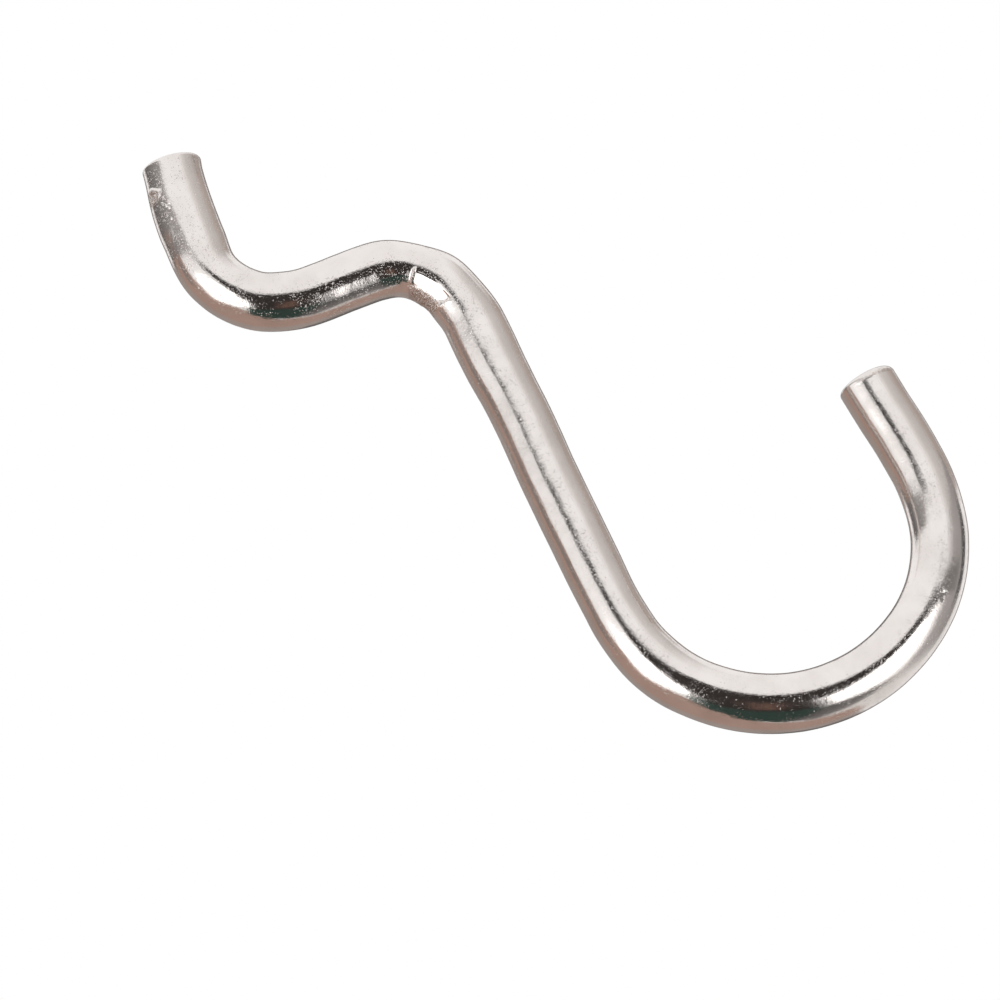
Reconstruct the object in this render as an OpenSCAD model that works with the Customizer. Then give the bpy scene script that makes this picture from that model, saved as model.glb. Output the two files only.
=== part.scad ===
// Pegboard hook: one length of round plated steel wire, cut to length and bent in one plane.
// The upturned peg goes behind the board, the crossing lies in the board's hole, and the
// shank hangs down the board's front face into a J that carries the tool.
// Frame: +Z up along the shank, +X out of the board's front face, wire in the XZ plane,
// origin at the middle of the crossing.

/* [Wire] */
// Diameter of the wire
wire_d = 4.0; // [3:0.1:6]
// Radius of the rounded edge at each cut end
end_edge_r = 0.3; // [0.1:0.05:0.8]
// How much less the wire's radius is where it is bent
bend_draw = 0.01; // [0.01:0.01:0.05]

/* [Peg behind the board] */
// Straight length of the upturned peg, up to its cut end
peg_len = 6.2; // [3:0.1:20]
// Angle turned from the crossing to the peg
peg_bend_deg = 96; // [80:1:110]

/* [Crossing in the hole] */
// Straight length between the two upper bends
crossing_len = 4.0; // [2:0.1:15]
// Radius on the inside of the two upper bends
bend_inside_r = 3.5; // [2.5:0.1:8]

/* [Shank down the front] */
// Angle turned from the crossing to the shank
shank_bend_deg = 88; // [75:1:100]
// Straight length of the shank between its bends
shank_len = 22.6; // [10:0.1:80]

/* [Hook] */
// Radius on the inside of the J
hook_inside_r = 9.2; // [5:0.1:25]
// Angle turned round the J
hook_bend_deg = 185; // [150:1:195]
// Straight length of the J's upright arm, up to its cut end
tip_len = 6.7; // [2:0.1:20]

/* [Tool mark] */
// Depth of the flat that the bending tool pressed into the shank bend
flat_depth = 0.05; // [0.02:0.01:0.2]
// Length of that flat along the wire
flat_len = 3.0; // [1:0.1:4]
// How far round the shank bend the middle of the flat lies
flat_along_deg = 57; // [30:1:60]
// How far the flat faces round from the side of the wire to the inside of the bend
flat_turn_deg = 40; // [0:1:45]

/* [Hidden] */
$fn = 96;
wire_r = wire_d / 2;
bend_r = bend_inside_r + wire_r;     // upper bends, at the middle of the wire
hook_r = hook_inside_r + wire_r;     // J, at the middle of the wire
droop_deg = 90 - shank_bend_deg;     // fall of the crossing that leaves the shank upright
lap = 0.2;                           // how far a bend starts inside the straight beside it
flat_cut = 3 * wire_d;               // size of the block that takes the flat off

// A straight stretch of wire along +Z. Children start from its far end.
module straight(length) {
    cylinder(h = length, r = wire_r);
    translate([0, 0, length]) children();
}

// Takes children from the start of a bend to the given angle along it, towards +X.
module along_bend(angle, radius) {
    translate([radius, 0, 0]) rotate([0, angle, 0]) translate([-radius, 0, 0]) children();
}

// A bend from +Z towards +X, lapped into the straights at its ends. Children start from its far end.
module bend(angle, radius) {
    lap_deg = lap / radius * 180 / PI;
    along_bend(-lap_deg, radius)
        translate([radius, 0, 0])
            rotate([90, 0, 180])
                rotate_extrude(angle = angle + 2 * lap_deg)
                    translate([radius, 0]) circle(r = wire_r - bend_draw);
    along_bend(angle, radius) children();
}

// The last straight stretch, cut square with its edge rounded over.
module cut_end(length) {
    flat_r = wire_r - end_edge_r;
    side_len = length - end_edge_r;
    rotate_extrude() {
        square([wire_r, side_len]);
        square([flat_r, length]);
        intersection() {
            translate([flat_r, side_len]) circle(r = end_edge_r);
            square([wire_r, length]);
        }
    }
}

// Puts children at one end of the crossing, with +Z along the wire and +X towards the bend.
module from_crossing(angle) {
    rotate([0, angle, 0]) translate([0, 0, crossing_len / 2]) children();
}

module crossing() {
    rotate([0, 90 + droop_deg, 0]) cylinder(h = crossing_len, r = wire_r, center = true);
}

module peg_side() {
    from_crossing(droop_deg - 90) bend(peg_bend_deg, bend_r) cut_end(peg_len);
}

module shank_side() {
    from_crossing(droop_deg + 90)
        bend(shank_bend_deg, bend_r)
            straight(shank_len)
                rotate([0, 0, 180]) bend(hook_bend_deg, hook_r) cut_end(tip_len);
}

// Block that leaves the tool's flat when it is taken off the inside flank of the shank bend.
module tool_flat() {
    from_crossing(droop_deg + 90)
        along_bend(flat_along_deg, bend_r)
            rotate([0, 0, flat_turn_deg])
                translate([0, flat_depth - wire_r - flat_cut / 2, 0])
                    cube([flat_cut, flat_cut, flat_len], center = true);
}

module hook_wire() {
    color("silver") difference() {
        union() {
            crossing();
            peg_side();
            shank_side();
        }
        tool_flat();
    }
}

hook_wire();
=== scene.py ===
"""Pegboard hook: the looks of its one bent length of bright plated wire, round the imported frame."""
import math

import bpy
import numpy as np
from mathutils import Matrix, Vector, noise


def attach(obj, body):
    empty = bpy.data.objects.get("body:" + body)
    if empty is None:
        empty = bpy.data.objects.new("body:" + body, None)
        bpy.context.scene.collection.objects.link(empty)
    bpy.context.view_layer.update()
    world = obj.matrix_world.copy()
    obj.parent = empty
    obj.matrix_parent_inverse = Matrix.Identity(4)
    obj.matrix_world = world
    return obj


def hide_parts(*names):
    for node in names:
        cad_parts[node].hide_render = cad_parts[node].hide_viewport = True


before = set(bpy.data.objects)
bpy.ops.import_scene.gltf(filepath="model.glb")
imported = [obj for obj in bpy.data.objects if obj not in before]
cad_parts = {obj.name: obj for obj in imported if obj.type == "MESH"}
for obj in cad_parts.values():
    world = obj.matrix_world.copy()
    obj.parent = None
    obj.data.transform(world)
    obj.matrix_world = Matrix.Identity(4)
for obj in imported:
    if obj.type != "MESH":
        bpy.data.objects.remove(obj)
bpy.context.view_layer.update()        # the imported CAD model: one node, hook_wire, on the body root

MM = 0.001
NODE = "hook_wire"

# --- Sizes of the wire, as in the part's source -------------------------------------------------
WIRE_R = 2.0 * MM
PEG_LEN = 6.2 * MM
PEG_BEND = math.radians(96)
CROSSING_LEN = 4.0 * MM
UPPER_BEND_R = 5.5 * MM       # at the middle of the wire
SHANK_BEND = math.radians(88)
SHANK_LEN = 22.6 * MM
HOOK_R = 11.2 * MM            # at the middle of the wire
HOOK_BEND = math.radians(185)
TIP_LEN = 6.7 * MM

# --- Places along the wire, from the peg's cut end ----------------------------------------------
PEG_BEND_AT = PEG_LEN
CROSSING_AT = PEG_BEND_AT + PEG_BEND * UPPER_BEND_R
SHANK_BEND_AT = CROSSING_AT + CROSSING_LEN
SHANK_AT = SHANK_BEND_AT + SHANK_BEND * UPPER_BEND_R
HOOK_AT = SHANK_AT + SHANK_LEN
TIP_AT = HOOK_AT + HOOK_BEND * HOOK_R
WIRE_LEN = TIP_AT + TIP_LEN

# --- Mesh ---------------------------------------------------------------------------------------
SKIN = 0.020 * MM             # how far the visual wire lies inside the CAD wire
ROUND_STEPS = 120             # vertices round the wire
RINGS = 790                   # rings along the wire, without those on the cut ends
EASE = 1.6 * MM               # length over which a straight eases into a bend
EDGE_RINGS = 7                # rings on the rounded edge of each cut end
FACE_RINGS = 9                # steps from there to the middle of the cut
PEG_EDGE = 0.20 * MM          # radius of the rounded edge at the peg's cut
TIP_EDGE = 0.32 * MM
EDGE_LEAN = 0.3               # share by which those radii grow on one side and shrink on the other
PEG_DISH = 0.05 * MM          # how far each cut is hollow in its middle
TIP_DISH = 0.04 * MM
SET_BACK = 0.02 * MM          # both cuts lie this far inside the CAD wire's ends
SQUEEZE = 2.0 * MM            # length over which the side rings make room for the rounded edges


def smooth(edge0, edge1, x):
    """0 below edge0, 1 above edge1, and a smooth rise between them."""
    t = np.clip((x - edge0) / (edge1 - edge0), 0.0, 1.0)
    return t * t * (3.0 - 2.0 * t)


def hump(x, middle, half):
    """1 at middle, falling smoothly to 0 at half on either side."""
    t = np.clip(1.0 - ((x - middle) / half) ** 2, 0.0, 1.0)
    return t * t


def plateau(x, start, full, fade, end):
    """1 from full to fade, falling smoothly to 0 at start and end."""
    return smooth(start, full, x) * (1 - smooth(fade, end, x))


# --- Route of the wire's middle -----------------------------------------------------------------
class Route:
    """The middle line of the wire in the XZ plane, with its curvature eased in and out of each bend."""

    STEP = 0.01 * MM

    def __init__(self):
        ends = np.array([PEG_BEND_AT, CROSSING_AT, SHANK_BEND_AT, SHANK_AT, HOOK_AT, TIP_AT])
        curvature = [0.0, 1 / UPPER_BEND_R, 0.0, -1 / UPPER_BEND_R, 0.0, 1 / HOOK_R, 0.0]
        reach = 4 * MM        # the line is worked out this far past both cut ends
        self.along = np.arange(-reach, WIRE_LEN + reach, self.STEP)
        bent = np.array(curvature)[np.searchsorted(ends, self.along)]
        window = np.hanning(int(EASE / self.STEP))
        bent = np.convolve(bent, window / window.sum(), "same")
        turned = np.cumsum(bent) * self.STEP
        middle = CROSSING_AT + CROSSING_LEN / 2
        droop = math.pi / 2 - SHANK_BEND
        self.heading = turned - np.interp(middle, self.along, turned) - droop
        x = np.cumsum(np.cos(self.heading)) * self.STEP
        z = np.cumsum(np.sin(self.heading)) * self.STEP
        self.x = x - np.interp(middle, self.along, x)
        self.z = z - np.interp(middle, self.along, z)

    def at(self, along):
        """Place and heading of the line at distances along the wire."""
        return (
            np.interp(along, self.along, self.x),
            np.interp(along, self.along, self.z),
            np.interp(along, self.along, self.heading),
        )

    def point(self, along, turn, radius):
        """Points off the line. Turn 0 faces -Y, and a quarter turn faces the left of travel."""
        x, z, heading = self.at(along)
        side = radius * np.sin(turn)
        return np.stack(
            [x - side * np.sin(heading), -radius * np.cos(turn), z + side * np.cos(heading)], -1
        )

    def facing(self, along, turn):
        """Directions straight out of the wire at those places."""
        heading = self.at(along)[2]
        side = np.sin(turn)
        return np.stack([-side * np.sin(heading), -np.cos(turn), side * np.cos(heading)], -1)


# --- How bending leaves the wire: each entry is a place along it, half the length, and how much ---
# Bows to the left of travel.
BOWS = [
    (3.0, 3.0, -0.10),
    (6.7, 1.9, 0.09),
    (13.8, 1.9, 0.08),
    (16.6, 1.6, -0.03),
    (21.4, 2.0, 0.07),
    (26.6, 1.9, -0.15),
    (36.0, 4.5, 0.11),
    (51.6, 2.6, 0.06),
    (56.6, 3.0, -0.05),
    (77.5, 5.5, -0.04),
    (84.3, 3.2, 0.07),
    (88.9, 2.2, -0.04),
]
# Widening of the wire in the plane of the bends.
SWELLS = [
    (4.8, 4.4, 0.12),
    (22.6, 2.0, -0.15),
    (30.0, 4.6, 0.10),
    (49.5, 2.2, -0.04),
    (55.5, 3.0, 0.05),
    (78.5, 11.0, -0.06),
]


def added(marks, along):
    """Sum of such entries, in metres."""
    return sum(amount * MM * hump(along / MM, middle, half) for middle, half, amount in marks)


WAVES_TOP = 0.008             # millimetres, the most that the waves below add up to


def waviness(along, turn):
    """Slight unevenness that drawing, plating and handling leave on the surface, in metres."""
    u = along / MM
    wave = 0.0030 * np.sin(1.1 * u + 2.0 * np.sin(turn) + 0.4)
    wave += 0.0020 * np.sin(2.3 * u - 1.7 * np.cos(turn) + 1.9)
    wave += 0.0020 * np.sin(0.57 * u + 3.0 * turn)
    wave += 0.0010 * np.sin(4.9 * u + 2.0 * turn + 0.7)
    return (wave - WAVES_TOP) * MM


def crumble(along, turn, near, grain):
    """Bumps of about that size, from -1 to 1, at the places that near picks out, and 0 elsewhere."""
    spots = np.stack([np.sin(turn) * WIRE_R, -np.cos(turn) * WIRE_R, along], -1) / grain
    bumps = np.zeros_like(along)
    bumps[near] = [noise.noise(Vector(spot)) for spot in spots[near]]
    return bumps


# --- The flat that the bending tool pressed on the inside of the shank's bend ---------------------
FLAT_AT = 24.85 * MM
FLAT_TURN = math.radians(-38)
FLAT_FROM = 23.06 * MM
FLAT_TO = 26.55 * MM
FLAT_DEPTH = 0.07 * MM        # below the round of the wire, at its middle
FLAT_HOLLOW_R = 9.0 * MM      # it is slightly hollow along the wire
FLAT_EDGE = 0.04 * MM         # half of the rounding at its sides

# Lips and a notch round the flat: height, start and end as (place, turn), and half width. Places and
# sizes are in millimetres and turns in degrees, here and for the marks below.
LIPS = [
    (0.050, (23.08, -16), (23.04, -43), 0.24),
    (0.035, (26.75, -33), (26.25, -66), 0.24),
    (-0.050, (25.75, -62), (26.15, -46), 0.28),
]
TORN_LIP = ((23.03, -16), (22.98, -43), 0.17)     # where the first lip's plate is torn
# The torn metal below the flat, along and round the wire: where it starts, is full, fades and ends.
BURR_ALONG = (22.6, 23.3, 26.0, 26.8)
BURR_ROUND = (-118, -96, -54, -46)
BURR_RISE = 0.050
BURR_GRAIN = 0.18 * MM


def flat_cover(along, turn):
    """1 on the flat and 0 off it."""
    u, degrees = along / MM, np.degrees(turn)
    # Turns of its upper and lower sides, which slope along the wire.
    top = -17.0 - 2.6 * (u - 22.9)
    bottom = np.where(u < 25.6, -41 - 7.2 * (u - 23.0), -60 + 24 * (u - 25.6))
    edge = math.degrees(FLAT_EDGE / WIRE_R)
    cover = smooth(-edge, edge, top - degrees) * smooth(-edge, edge, degrees - bottom)
    cover = cover * smooth(FLAT_FROM - FLAT_EDGE, FLAT_FROM + FLAT_EDGE, along)
    return cover * (1 - smooth(FLAT_TO - FLAT_EDGE, FLAT_TO + FLAT_EDGE, along))


def press_flat(points, along, turn, route):
    """Moves the surface onto the tool's face where the flat is."""
    out = route.facing(np.array(FLAT_AT), np.array(FLAT_TURN))
    heading = route.at(FLAT_AT)[2]
    travel = np.array([math.cos(heading), 0, math.sin(heading)])
    middle = route.point(np.array(FLAT_AT), np.array(FLAT_TURN), WIRE_R - FLAT_DEPTH)
    away = (points - middle) @ travel
    proud = (points - middle) @ out - away**2 / (2 * FLAT_HOLLOW_R)
    return points - out * (proud * flat_cover(along, turn))[..., None]


def stroke(along, turn, start, end, half):
    """1 along a straight stroke on the surface, falling to 0 at half its width."""
    scale = np.array([1.0, math.radians(1) * WIRE_R / MM])
    a, b = np.array(start) * scale, np.array(end) * scale
    u, v = along / MM - a[0], np.degrees(turn) * scale[1] - a[1]
    run = b - a
    share = np.clip((u * run[0] + v * run[1]) / (run @ run), 0, 1)
    far = np.hypot(u - share * run[0], v - share * run[1])
    return hump(far, 0.0, half)


def burr_cover(along, turn):
    """1 on the torn metal below the flat and 0 off it."""
    return plateau(along / MM, *BURR_ALONG) * plateau(np.degrees(turn), *BURR_ROUND)


def tool_marks(along, turn):
    """Lips and burr round the flat, in metres."""
    height = sum(rise * stroke(along, turn, start, end, half) for rise, start, end, half in LIPS)
    burr = burr_cover(along, turn)
    return (height + BURR_RISE * burr * crumble(along, turn, burr > 0, BURR_GRAIN)) * MM


# --- Marks near the peg's end and on the J --------------------------------------------------------
NICK_AT = 2.35
NICK_TURN = -61
NICK_HALF = (0.46, 16)        # millimetres along the wire and degrees round it
NICK_LIP = 0.040
NICK_SINK = 0.020
NICK_CRUMBLE = 0.050
NICK_SCUFF = 0.012            # crumbling of the plate round it
NICK_GRAIN = 0.17 * MM

# Crushed specks beside the nick: place, turn and half width.
SPECKS = [
    (2.80, -38, 0.12),
    (3.15, -43, 0.15),
    (3.30, -29, 0.15),
    (3.40, -37, 0.12),
    (3.65, -32, 0.11),
    (3.95, -41, 0.13),
    (4.35, -34, 0.12),
]
SPECK_CRUMBLE = 0.012
SPECK_GRAIN = 0.15 * MM

# Small dents and scratches: start and end as (place, turn), half width and depth.
SCRATCHES = [
    ((58.65, -21), (59.20, -17), 0.13, 0.020),
    ((63.88, -41), (63.98, -39), 0.13, 0.018),
    ((76.55, -28), (77.20, -21), 0.13, 0.016),
    ((76.70, -17), (77.05, -30), 0.12, 0.012),
    ((79.00, -30), (79.12, -28), 0.11, 0.012),
    ((81.05, -22), (81.15, -19), 0.11, 0.012),
    ((4.60, -33), (6.50, -48), 0.12, 0.008),
    ((5.20, -46), (6.60, -57), 0.12, 0.008),
]
FLARE = 0.06                  # of the peg's cut
FURROW = 0.025                # depth of the furrow near the tip
FURROW_BACK = 0.48            # from the tip's end


def from_nick(along, turn):
    """How far places lie from the nick's middle, as shares of its size, in all and along the wire."""
    u = (along / MM - NICK_AT) / NICK_HALF[0]
    v = (np.degrees(turn) - NICK_TURN) / NICK_HALF[1]
    angle = np.arctan2(v, u)
    uneven = 1 + 0.07 * np.sin(3 * angle + 0.5) + 0.05 * np.sin(5 * angle + 2.0)
    return np.hypot(u, v) * uneven, u


def nick(along, turn):
    """A struck nick: a raised lip round its upper side and a crumbled hollow below it, in metres."""
    far, u = from_nick(along, turn)
    hollow = 1 - smooth(0.45, 1.0, far)
    lip = np.exp(-(((far - 1.0) / 0.22) ** 2)) * (1 - smooth(-0.2, 0.9, u))
    around = 1 - smooth(1.0, 2.1, far)
    bumps = crumble(along, turn, around > 0, NICK_GRAIN)
    crumbled = (NICK_CRUMBLE * hollow + NICK_SCUFF * around) * bumps
    return (NICK_LIP * lip - NICK_SINK * hollow + crumbled) * MM


def speck_cover(along, turn):
    """1 at the middle of each crushed speck and 0 off them."""
    return sum(stroke(along, turn, (u, degrees), (u + 0.01, degrees), half) for u, degrees, half in SPECKS)


def specks(along, turn):
    """Crumbling of the specks, in metres."""
    cover = speck_cover(along, turn)
    return SPECK_CRUMBLE * cover * crumble(along, turn, cover > 0, SPECK_GRAIN) * MM


def end_marks(along, turn):
    """The flare on the left side of the peg's cut, and the furrow behind the tip's, in metres."""
    left = np.clip(np.sin(turn), 0, 1) ** 3
    flare = FLARE * left * (1 - smooth(0.1, 0.9, along / MM))
    return (flare - FURROW * furrow_cover(along, turn)) * MM


def furrow_cover(along, turn):
    """1 along the broken furrow behind the tip's cut and 0 off it."""
    facing = hump(np.degrees(turn), -16, 58)
    broken = 0.6 + 0.4 * np.sin(9.0 * turn) * np.sin(23.0 * turn + 1.0)
    return hump((WIRE_LEN - along) / MM, FURROW_BACK, 0.15) * facing * broken


def crushed_cover(along, turn):
    """1 where the plate is crushed or torn, and 0 where it is sound."""
    cover = 0.8 * (1 - smooth(0.6, 1.5, from_nick(along, turn)[0]))
    cover += 0.45 * speck_cover(along, turn)
    cover += burr_cover(along, turn) + 0.8 * stroke(along, turn, *TORN_LIP)
    cover += 1.2 * furrow_cover(along, turn)
    return np.clip(cover, 0, 1)


def wire_radius(along, turn):
    """Radius of the marked wire at places along it and turns round it."""
    side = np.sin(turn)
    radius = WIRE_R - SKIN + waviness(along, turn)
    radius = radius + added(BOWS, along) * side + added(SWELLS, along) * side**2
    radius = radius + nick(along, turn) + specks(along, turn)
    radius = radius + tool_marks(along, turn) + end_marks(along, turn)
    for start, end, half, depth in SCRATCHES:
        radius = radius - depth * MM * stroke(along, turn, start, end, half)
    return radius


# --- Mesh of the wire ---------------------------------------------------------------------------
# Places along the wire with more rings, how far that reaches, and how much closer they lie.
CLOSE_RINGS = [(1.5, 2.6, 1.0), (24.8, 3.2, 1.0), (WIRE_LEN / MM, 1.6, 0.8)]


def spread(low, high, count, wanted):
    """Places from low to high, closer together where wanted() is larger."""
    fine = np.linspace(low, high, 4001)
    share = np.cumsum(wanted(fine))
    share = (share - share[0]) / (share[-1] - share[0])
    return np.interp(np.linspace(0, 1, count), share, fine)


def marked_lengths(along):
    """Where rings lie closer: at the marks and the cut ends."""
    return sum((closer * hump(along / MM, u, reach) for u, reach, closer in CLOSE_RINGS), 1)


def marked_turns(turn):
    """Where vertices lie closer round the wire: on the side with the marks."""
    return 1 + 0.7 * np.clip(np.cos(turn - FLAT_TURN), 0, 1)


def cut_end(turn, edge, dish, rim):
    """Offsets past the last side ring and radii of the rings over a cut end, from its rim inwards."""
    rings = []
    for step in range(1, EDGE_RINGS + 1):
        bend = math.pi / 2 * step / EDGE_RINGS
        rings.append((edge * math.sin(bend) - edge, rim - edge * (1 - math.cos(bend))))
    flat_rim = rim - edge
    for step in range(1, FACE_RINGS):
        share = 1 - step / FACE_RINGS
        rings.append((-dish * (1 - share**2) * (1 + 0.5 * np.sin(2 * turn)), flat_rim * share))
    return rings


def wire_mesh(route):
    """Vertices, faces, straightened places, the mask of the cut faces and that of the crushed plate."""
    along1 = spread(0, WIRE_LEN, RINGS, marked_lengths)
    turn1 = spread(-math.pi, math.pi, ROUND_STEPS + 1, marked_turns)[:-1]
    along, turn = np.meshgrid(along1, turn1, indexing="ij")
    peg_edge = PEG_EDGE * (1 + EDGE_LEAN * np.sin(turn1))
    tip_edge = TIP_EDGE * (1 - EDGE_LEAN * np.sin(turn1))
    along = along + (1 - smooth(0, SQUEEZE, along)) * (peg_edge[None] + SET_BACK)
    along = along - smooth(WIRE_LEN - SQUEEZE, WIRE_LEN, along) * (tip_edge[None] + SET_BACK)
    radius = wire_radius(along, turn)
    side = press_flat(route.point(along, turn, radius), along, turn, route)
    straight = np.stack([radius * np.sin(turn), -radius * np.cos(turn), along], -1)

    def cap(rings, place, sign):
        """Points of a cut end's rings, on the bent and on the straightened wire."""
        points, flat = [], []
        for offset, ring_radius in rings:
            at = place + sign * offset * np.ones_like(turn1)
            points.append(route.point(at, turn1, ring_radius))
            flat.append(np.stack([ring_radius * np.sin(turn1), -ring_radius * np.cos(turn1), at], -1))
        return points, flat

    peg_rings = cut_end(turn1, peg_edge, PEG_DISH, radius[0])
    tip_rings = cut_end(turn1, tip_edge, TIP_DISH, radius[-1])
    peg_points, peg_flat = cap(peg_rings, SET_BACK, -1.0)
    tip_points, tip_flat = cap(tip_rings, WIRE_LEN - SET_BACK, 1.0)
    rings = peg_points[::-1] + list(side) + tip_points
    flats = peg_flat[::-1] + list(straight) + tip_flat
    face = [0.0] * EDGE_RINGS + [1.0] * (FACE_RINGS - 1)
    cut = np.repeat(face[::-1] + [0.0] * len(side) + face, ROUND_STEPS)
    sound = np.zeros(len(face) * ROUND_STEPS)
    crushed = np.concatenate([sound, crushed_cover(along, turn).ravel(), sound, [0.0, 0.0]])
    points = np.vstack(rings + [peg_points[-1].mean(0), tip_points[-1].mean(0)])
    flat = np.vstack(flats + [peg_flat[-1].mean(0), tip_flat[-1].mean(0)])
    return points, wire_faces(len(rings)), flat, np.append(cut, [1.0, 1.0]), crushed


def wire_faces(ring_count):
    """Quads between the rings and a fan of triangles over the middle of each end."""
    n = ROUND_STEPS
    ring, step = np.meshgrid(np.arange(ring_count - 1), np.arange(n), indexing="ij")
    a = ring * n + step
    b = ring * n + (step + 1) % n
    quads = np.stack([a, a + n, b + n, b], -1).reshape(-1, 4).tolist()
    first, last = ring_count * n, ring_count * n + 1
    top = (ring_count - 1) * n
    fans = [[(i + 1) % n, first, i] for i in range(n)]
    fans += [[top + i, last, top + (i + 1) % n] for i in range(n)]
    return quads + fans


def build_wire(route):
    """The wire as one piece, with the attributes that its material reads."""
    points, faces, straight, cut, crushed = wire_mesh(route)
    mesh = bpy.data.meshes.new("plated_hook")
    mesh.from_pydata(points.tolist(), [], faces)
    mesh.update()
    mesh.shade_smooth()
    places = mesh.attributes.new("straight", "FLOAT_VECTOR", "POINT")
    places.data.foreach_set("vector", (straight / MM).ravel())
    for name, mask in (("cut", cut), ("crushed", crushed)):
        mesh.attributes.new(name, "FLOAT", "POINT").data.foreach_set("value", mask)
    wire = bpy.data.objects.new("plated_hook", mesh)
    bpy.context.scene.collection.objects.link(wire)
    return wire


# --- Material: bright plate over drawn wire -----------------------------------------------------
class Shader:
    """A material's nodes, with short ways to add the few kinds that are used here."""

    def __init__(self, name):
        self.material = bpy.data.materials.new(name)
        self.material.use_nodes = True
        self.nodes = self.material.node_tree.nodes
        self.links = self.material.node_tree.links
        self.nodes.clear()

    def node(self, kind, **inputs):
        """A node with some inputs set to a value or linked to another node's output."""
        node = self.nodes.new(kind)
        for name, value in inputs.items():
            self.put(value, node.inputs[name.replace("_", " ")])
        return node

    def put(self, value, socket):
        """Links another node's output to the socket, or sets its value."""
        if isinstance(value, bpy.types.NodeSocket):
            self.links.new(value, socket)
        else:
            socket.default_value = value

    def attribute(self, name):
        """A node that reads one of the mesh's attributes."""
        node = self.nodes.new("ShaderNodeAttribute")
        node.attribute_name = name
        return node

    def math(self, operation, a, b):
        """The result of one sum or comparison."""
        node = self.nodes.new("ShaderNodeMath")
        node.operation = operation
        self.put(a, node.inputs[0])
        self.put(b, node.inputs[1])
        return node.outputs["Value"]

    def times(self, first, *others):
        """The product of two or more values."""
        for other in others:
            first = self.math("MULTIPLY", first, other)
        return first

    def remap(self, value, low, high, out_low, out_high):
        """Carries value from low..high to out_low..out_high and stops at both ends."""
        node = self.node("ShaderNodeMapRange", Value=value, From_Min=low, From_Max=high)
        self.put(out_low, node.inputs["To Min"])
        self.put(out_high, node.inputs["To Max"])
        return node.outputs["Result"]

    def mix(self, factor, a, b):
        """A colour between two others."""
        node = self.nodes.new("ShaderNodeMix")
        node.data_type = "RGBA"
        for name, value in (("Factor", factor), ("A", a), ("B", b)):
            self.put(value, node.inputs[name])
        return node.outputs["Result"]

    def noise(self, place, scale, detail=2.0, roughness=0.5):
        """Soft noise round 0.5, with that many features to a millimetre."""
        inputs = {"Vector": place, "Scale": scale, "Detail": detail, "Roughness": roughness}
        return self.node("ShaderNodeTexNoise", **inputs).outputs["Fac"]

    def stretched(self, place, scale):
        """Places scaled by three factors, to stretch the texture that reads them."""
        return self.node("ShaderNodeMapping", Vector=place, Scale=scale).outputs["Vector"]


PLATE_LIGHT = (0.85, 0.80, 0.77, 1)
PLATE_DULL = (0.77, 0.72, 0.69, 1)
# painted shade: the brown tint laid into the hollows of the crushed plate
HOLLOW_SHADE_BROWN = (0.46, 0.31, 0.24, 1)
BUMP_HEIGHT = 0.010 * MM


def plated_wire():
    """Bright plate. Its texture lies on the straightened wire, in millimetres."""
    shader = Shader("bright_plated_wire")
    place = shader.attribute("straight").outputs["Vector"]
    cut = shader.attribute("cut").outputs["Fac"]
    crushed = shader.attribute("crushed").outputs["Fac"]

    grain = shader.noise(place, 5.5, 4.0, 0.65)
    coarse = shader.noise(place, 2.2, 2.0, 0.5)
    drawn = shader.noise(shader.stretched(place, (1, 1, 0.06)), 8.0, 2.0, 0.5)
    cloud = shader.noise(place, 0.45, 3.0, 0.55)
    shear = shader.noise(shader.stretched(place, (0.4, 3.0, 1.0)), 3.0, 4.0, 0.65)

    # Fine pits, fewer of them towards the tip.
    length = shader.node("ShaderNodeSeparateXYZ", Vector=place).outputs["Z"]
    long = shader.stretched(place, (1.0, 1.0, 0.7))
    pit = shader.node("ShaderNodeTexVoronoi", Vector=long, Scale=5.5)
    pits = shader.remap(pit.outputs["Distance"], 0.06, 0.20, 1.0, 0.0)
    chosen = shader.node("ShaderNodeSeparateColor", Color=pit.outputs["Color"])
    fewest = shader.remap(length, 50.0, 88.0, 0.55, 0.88)
    pits = shader.times(pits, shader.math("GREATER_THAN", chosen.outputs["Red"], fewest))

    # Crushed plate is dull, and the brown tint in its hollows is painted shade, not the plate's own
    # colour.
    crumb = shader.noise(place, 6.5, 3.0, 0.7)
    painted_hollow_shade = shader.times(shader.remap(crumb, 0.54, 0.42, 0.0, 0.8), crushed)
    tint = shader.mix(shader.remap(cloud, 0.35, 0.68, 0.0, 1.0), PLATE_LIGHT, PLATE_DULL)
    tint = shader.mix(painted_hollow_shade, tint, HOLLOW_SHADE_BROWN)

    # Fine irregular flecks, in patches, and fainter on the J.
    fleck = shader.remap(shader.noise(place, 9.0, 2.0, 0.6), 0.60, 0.72, 0.0, 1.0)
    patch = shader.remap(shader.noise(place, 0.9, 3.0, 0.6), 0.40, 0.62, 0.15, 1.0)
    faint = shader.remap(length, 26.0, 58.0, 1.0, 0.5)
    flecks = shader.times(fleck, patch, faint)

    rough = shader.remap(coarse, 0.35, 0.7, 0.09, 0.16)
    rough = shader.math("ADD", rough, shader.times(cut, 0.18))
    rough = shader.math("ADD", rough, shader.times(crushed, 0.12))

    # Height of the surface, as multiples of the bump's.
    height = shader.times(grain, 0.52)
    height = shader.math("ADD", height, shader.times(coarse, 0.22))
    height = shader.math("ADD", height, shader.times(drawn, 0.35))
    height = shader.math("SUBTRACT", height, shader.times(pits, 0.8))
    height = shader.math("ADD", height, shader.times(flecks, 1.1))
    height = shader.math("ADD", height, shader.times(shear, cut, 6.0))
    height = shader.math("ADD", height, shader.times(crumb, crushed, 9.0))
    bump = shader.node("ShaderNodeBump", Strength=1.0, Distance=BUMP_HEIGHT, Height=height)

    metal = shader.node(
        "ShaderNodeBsdfPrincipled", Metallic=1.0, Roughness=rough, Base_Color=tint,
        Normal=bump.outputs["Normal"])
    shader.node("ShaderNodeOutputMaterial", Surface=metal.outputs["BSDF"])
    return shader.material


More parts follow.
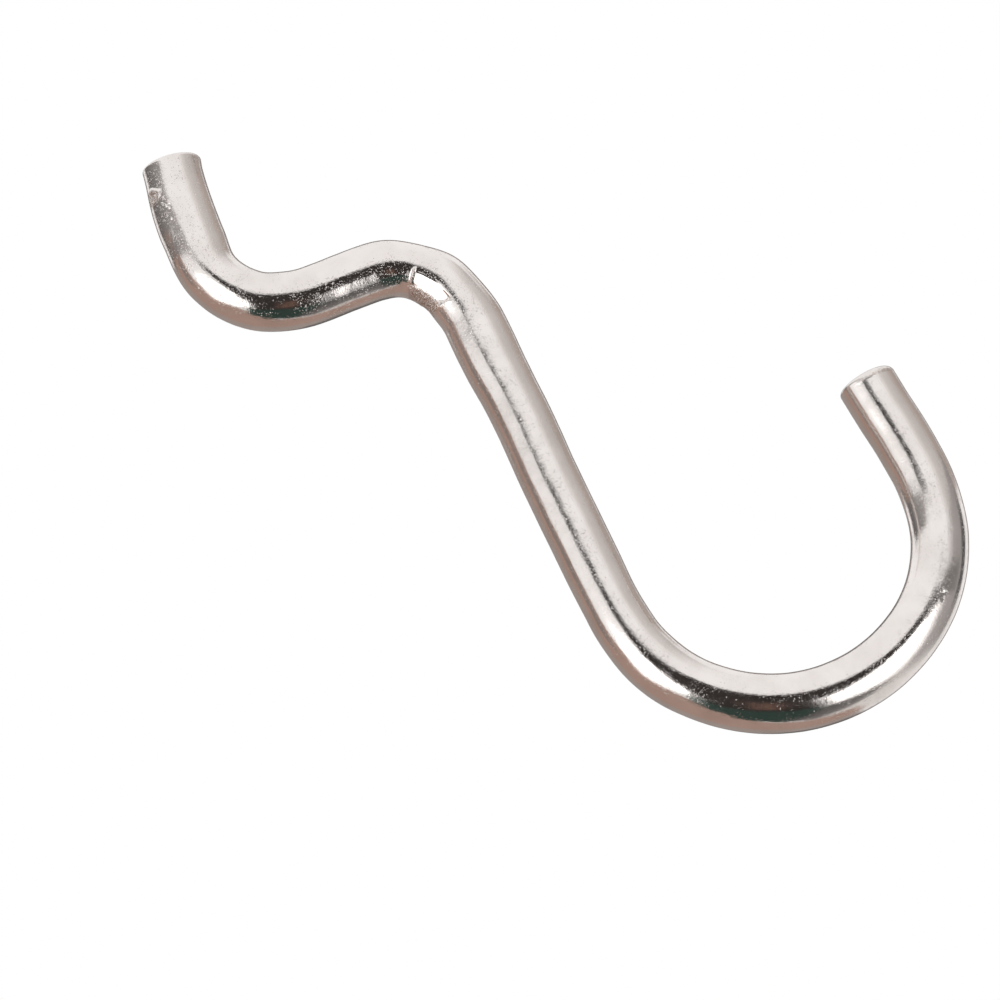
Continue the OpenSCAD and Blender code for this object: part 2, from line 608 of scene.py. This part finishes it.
# --- Camera, at the photograph's viewing angle ---------------------------------------------------
CAMERA_ROLL = math.radians(24.43)     # the shank leans this far to the right, going down
CAMERA_TILT = math.radians(20.27)     # the camera looks up at the hook's front from below
CAMERA_FAR = 600 * MM
VIEW_WIDTH = 65.6 * MM                # what the picture spans at the hook
SENSOR = 36.0
AIM = Vector((3.70 * MM, 0, -18.23 * MM))


def camera_axes():
    """Right, up and back of the picture, in the frame of the hook."""
    right = Vector((math.cos(CAMERA_ROLL), 0, -math.sin(CAMERA_ROLL)))
    level = Vector((math.sin(CAMERA_ROLL), 0, math.cos(CAMERA_ROLL)))
    front = Vector((0, -1, 0))
    up = level * math.cos(CAMERA_TILT) + front * math.sin(CAMERA_TILT)
    back = front * math.cos(CAMERA_TILT) - level * math.sin(CAMERA_TILT)
    return right, up, back


def add_camera():
    """The camera, in front of the hook and below it, rolled so that the shank leans."""
    right, up, back = camera_axes()
    data = bpy.data.cameras.new("camera")
    data.sensor_width = SENSOR
    data.lens = SENSOR * CAMERA_FAR / VIEW_WIDTH
    data.clip_start = 0.01
    data.clip_end = 20
    camera = bpy.data.objects.new("camera", data)
    turn = Matrix((right, up, back)).transposed().to_4x4()
    camera.matrix_world = Matrix.Translation(AIM + back * CAMERA_FAR) @ turn
    bpy.context.scene.collection.objects.link(camera)
    bpy.context.scene.camera = camera


# --- Studio: a pale room, two soft lights and the cards that the metal mirrors --------------------
CARD_FAR = 0.5                # metres from the hook
CARD_NEAR = 0.32
CARD_GAP = 0.004              # each card lies this much behind the one named after it
FLOOR_Z = -0.75
FLOOR_R = 4.0
FLOOR_COLOUR = (0.85, 0.84, 0.83, 1)
CARD_STEPS = 16               # faces along each side of a card
BAND_STEPS = 32
WHITE = (1, 1, 1)
GREY = (1, 0.96, 0.94)
BROWN = (1, 0.60, 0.46)
SKIN_TONE = (1, 0.71, 0.60)
NEAR_BLACK = (1, 0.86, 0.82)
WARM_GREY = (1, 0.88, 0.82)
RIM_GREY = (1, 0.87, 0.81)
GREENISH = (0.66, 1.1, 0.95)

# A card's corners are angles in degrees from the camera as the hook sees them: bearing to the
# picture's right, then lift above it, from the lower left corner round to the upper left. Next come
# the brightness at its left and right sides, its colour, and how far in from its left, right, lower
# and upper sides it fades, as shares of its width and height.
FAR_CARDS = [
    ("back_column", (151, -42), (171, -42), (203, 28), (183, 28),
     0.14, 0.14, GREY, (0.15, 0.15, 0.2, 0.25)),
    ("high_right", (20, 42), (125, 30), (150, 74), (36, 78),
     0.76, 0.51, GREY, (0.4, 0.15, 0.05, 0.6)),
    ("high_side", (88, 32), (150, 8), (150, 44), (96, 58),
     0.60, 0.38, WARM_GREY, (0.5, 0.1, 0.1, 0.4)),
    ("right_wall", (58, -50), (122, -34), (124, 34), (28, 43),
     0.50, 0.30, GREY, (0.4, 0.08, 0.3, 0.04)),
    ("right_corner", (99, -14), (121, -10), (121, 26), (98, 30),
     0.10, 0.08, WHITE, (0.3, 0.1, 0.3, 0.3)),
    ("left_shade", (-98, -26), (-80, -28), (-76, 0), (-104, -1),
     0.22, 0.26, WARM_GREY, (0.3, 0.4, 0.4, 0.2)),
    ("left_far_wall", (-126, -10.5), (-73, 4.5), (-71, 26), (-126, 13),
     0.12, 0.30, GREY, (0.03, 0, 0.05, 0.12)),
    ("left_wall", (-75, 5), (-42, 22), (-35, 28), (-73, 26),
     0.30, 0.40, GREY, (0, 0.03, 0.08, 0.08)),
    ("right_light", (20, -44), (84, -36), (66, 18), (16, 28),
     2.3, 2.3, WHITE, (0.04, 0.65, 0.45, 0.06)),
    ("left_light", (-74, -38), (-14, -32), (-16, 22), (-66, 1),
     2.3, 2.3, WHITE, (0.4, 0.03, 0.22, 0.22)),
    ("right_gap", (10, 26), (97, -2), (95, 11), (10, 37),
     0.08, 0.27, GREY, (0.05, 0.06, 0.12, 0.12)),
]
NEAR_CARDS = [
    ("left_gap", (-40, 20), (-6, 25), (-6, 35.3), (-40, 26.3),
     0.05, 0.03, GREY, (0.16, 0.25, 0.12, 0.1)),
    ("below_right", (16, -72), (80, -68), (78, -24), (18, -26),
     0.05, 0.26, GREY, (0.05, 0.3, 0.06, 0.25)),
    ("below_left", (-42, -52), (-20, -62), (-12, -16), (-20, -16),
     0.07, 0.05, GREENISH, (0.25, 0, 0.1, 0.1)),
    ("below_camera", (-26, -70), (37, -74), (29, -22), (-18, -22),
     0.05, 0.05, GREENISH, (0.1, 0.06, 0.05, 0.1)),
    ("camera_low", (-22, -33), (33, -31), (18.5, -2), (-22, -2),
     0.035, 0.035, NEAR_BLACK, (0.06, 0.08, 0.1, 0)),
    ("camera_high", (-22.5, -3), (20, -3), (33, 31), (-28, 26),
     0.035, 0.035, NEAR_BLACK, (0.06, 0.06, 0, 0.11)),
    ("camera_top", (-15, 20), (24, 22), (18, 33.5), (-10, 32),
     0.035, 0.035, NEAR_BLACK, (0.2, 0.15, 0, 0.15)),
    ("camera_hand", (-3, -28), (11, -28), (7, 8), (0, 8),
     0.15, 0.15, BROWN, (0.3, 0.3, 0.2, 0.4)),
]

# The bands run round the camera's view. Each has where it starts and ends round the picture, in
# degrees from its right towards its top, how far its inner edge lies from the way to the camera at
# the start and at the end, how far its outer edge does, its brightness and colour, and how it fades,
# as for a card.
BANDS = [
    ("rim_line", 300, 552, 146, 146, 172, 0.28, RIM_GREY, (0.03, 0, 0.1, 0.15)),
    ("rim_band", 192, 305, 108, 108, 172, 0.36, RIM_GREY, (0, 0.03, 0.1, 0.1)),
    ("peg_rim_band", 170, 194, 108, 108, 132, 0.30, RIM_GREY, (0, 0, 0.2, 0.1)),
    ("left_band", 170, 230, 84, 50, 118, 0.40, SKIN_TONE, (0.1, 0, 0, 0.05)),
    ("low_band", 230, 248, 50, 51, 118, 0.40, SKIN_TONE, (0, 0, 0, 0.05)),
    ("lower_band", 248, 270, 51, 72, 118, 0.40, SKIN_TONE, (0, 0, 0, 0.05)),
    ("right_band", 270, 308, 72, 90, 118, 0.40, SKIN_TONE, (0, 0.15, 0, 0.05)),
]


def direction(bearing, lift):
    """From the hook, at angles in degrees from the camera as the picture shows them."""
    right, up, back = camera_axes()
    across, above = math.radians(bearing), math.radians(lift)
    level = back * math.cos(across) + right * math.sin(across)
    return level * math.cos(above) + up * math.sin(above)


def sheet(name, place, steps, material):
    """A smooth grid with its vertices at place(u, v), for u and v from 0 to 1, hidden from the camera."""
    spans = [(i / steps, j / steps) for j in range(steps + 1) for i in range(steps + 1)]
    row = steps + 1
    corners = [j * row + i for j in range(steps) for i in range(steps)]
    faces = [(a, a + 1, a + row + 1, a + row) for a in corners]
    mesh = bpy.data.meshes.new(name)
    mesh.from_pydata([place(u, v) for u, v in spans], [], faces)
    span = mesh.attributes.new("span", "FLOAT_VECTOR", "POINT")
    span.data.foreach_set("vector", [x for u, v in spans for x in (u, v, 0)])
    mesh.shade_smooth()
    mesh.materials.append(material)
    staged = bpy.data.objects.new(name, mesh)
    bpy.context.scene.collection.objects.link(staged)
    staged.visible_camera = False


def card(name, low_left, low_right, high_right, high_left, bright_left, bright_right, colour, soft, far):
    """A curved card between four corners."""

    def place(u, v):
        low = [a + (b - a) * u for a, b in zip(low_left, low_right)]
        high = [a + (b - a) * u for a, b in zip(high_left, high_right)]
        return AIM + direction(*(a + (b - a) * v for a, b in zip(low, high))) * far

    sheet(name, place, CARD_STEPS, glow(name, bright_left, bright_right, colour, soft))


def band(name, start, end, inner_start, inner_end, outer, bright, colour, soft, far):
    """Part of a ring round the camera's view."""

    def place(u, v):
        right, up, back = camera_axes()
        turn = math.radians(start + (end - start) * u)
        inner = inner_start + (inner_end - inner_start) * u
        off = math.radians(outer + (inner - outer) * v)
        side = right * math.cos(turn) + up * math.sin(turn)
        return AIM + (back * math.cos(off) + side * math.sin(off)) * far

    sheet(name, place, BAND_STEPS, glow(name, bright, bright, colour, soft))


def glow(name, bright_left, bright_right, colour, soft):
    """Even light that runs from one brightness to another and fades out towards the sides."""
    shader = Shader(name)
    span = shader.attribute("span").outputs["Vector"]
    split = shader.node("ShaderNodeSeparateXYZ", Vector=span)
    left, right, low, high = soft
    shown = None
    for axis, start, end in (("X", 0, left), ("X", 1, 1 - right), ("Y", 0, low), ("Y", 1, 1 - high)):
        if start == end:
            continue
        fade = shader.node("ShaderNodeMapRange", Value=split.outputs[axis], From_Min=start, From_Max=end)
        fade.interpolation_type = "SMOOTHSTEP"
        fade = fade.outputs["Result"]
        shown = shader.times(shown, fade) if shown else fade
    bright = shader.remap(split.outputs["X"], 0.0, 1.0, bright_left, bright_right)
    light = shader.node("ShaderNodeEmission", Color=(*colour, 1), Strength=bright)
    clear = shader.node("ShaderNodeBsdfTransparent")
    mix = shader.node("ShaderNodeMixShader", Fac=shown)
    shader.put(clear.outputs["BSDF"], mix.inputs[1])
    shader.put(light.outputs["Emission"], mix.inputs[2])
    shader.node("ShaderNodeOutputMaterial", Surface=mix.outputs["Shader"])
    return shader.material


def add_studio():
    """The room's even light, its floor, and the cards and bands at their distances."""
    world = bpy.data.worlds.new("pale_room")
    world.use_nodes = True
    world.node_tree.nodes["Background"].inputs["Color"].default_value = (*WHITE, 1)
    world.node_tree.nodes["Background"].inputs["Strength"].default_value = 1.0
    bpy.context.scene.world = world
    bpy.ops.mesh.primitive_circle_add(
        vertices=96, radius=FLOOR_R, fill_type="NGON", location=(AIM.x, 0, FLOOR_Z))
    floor = bpy.context.object
    floor.name = "floor"
    shader = Shader("pale_floor")
    pale = shader.node("ShaderNodeBsdfPrincipled", Base_Color=FLOOR_COLOUR, Roughness=0.8)
    shader.node("ShaderNodeOutputMaterial", Surface=pale.outputs["BSDF"])
    floor.data.materials.append(shader.material)
    far = CARD_FAR
    for entry in BANDS:
        band(*entry, far)
        far -= CARD_GAP
    for entry in FAR_CARDS:
        card(*entry, far)
        far -= CARD_GAP
    far = CARD_NEAR
    for entry in NEAR_CARDS:
        card(*entry, far)
        far -= CARD_GAP


def main():
    """Builds the scene."""
    bpy.context.scene.view_settings.view_transform = "Standard"
    add_camera()
    wire = build_wire(Route())
    wire.data.materials.append(plated_wire())
    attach(wire, "root")
    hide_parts(NODE)
    add_studio()


main()
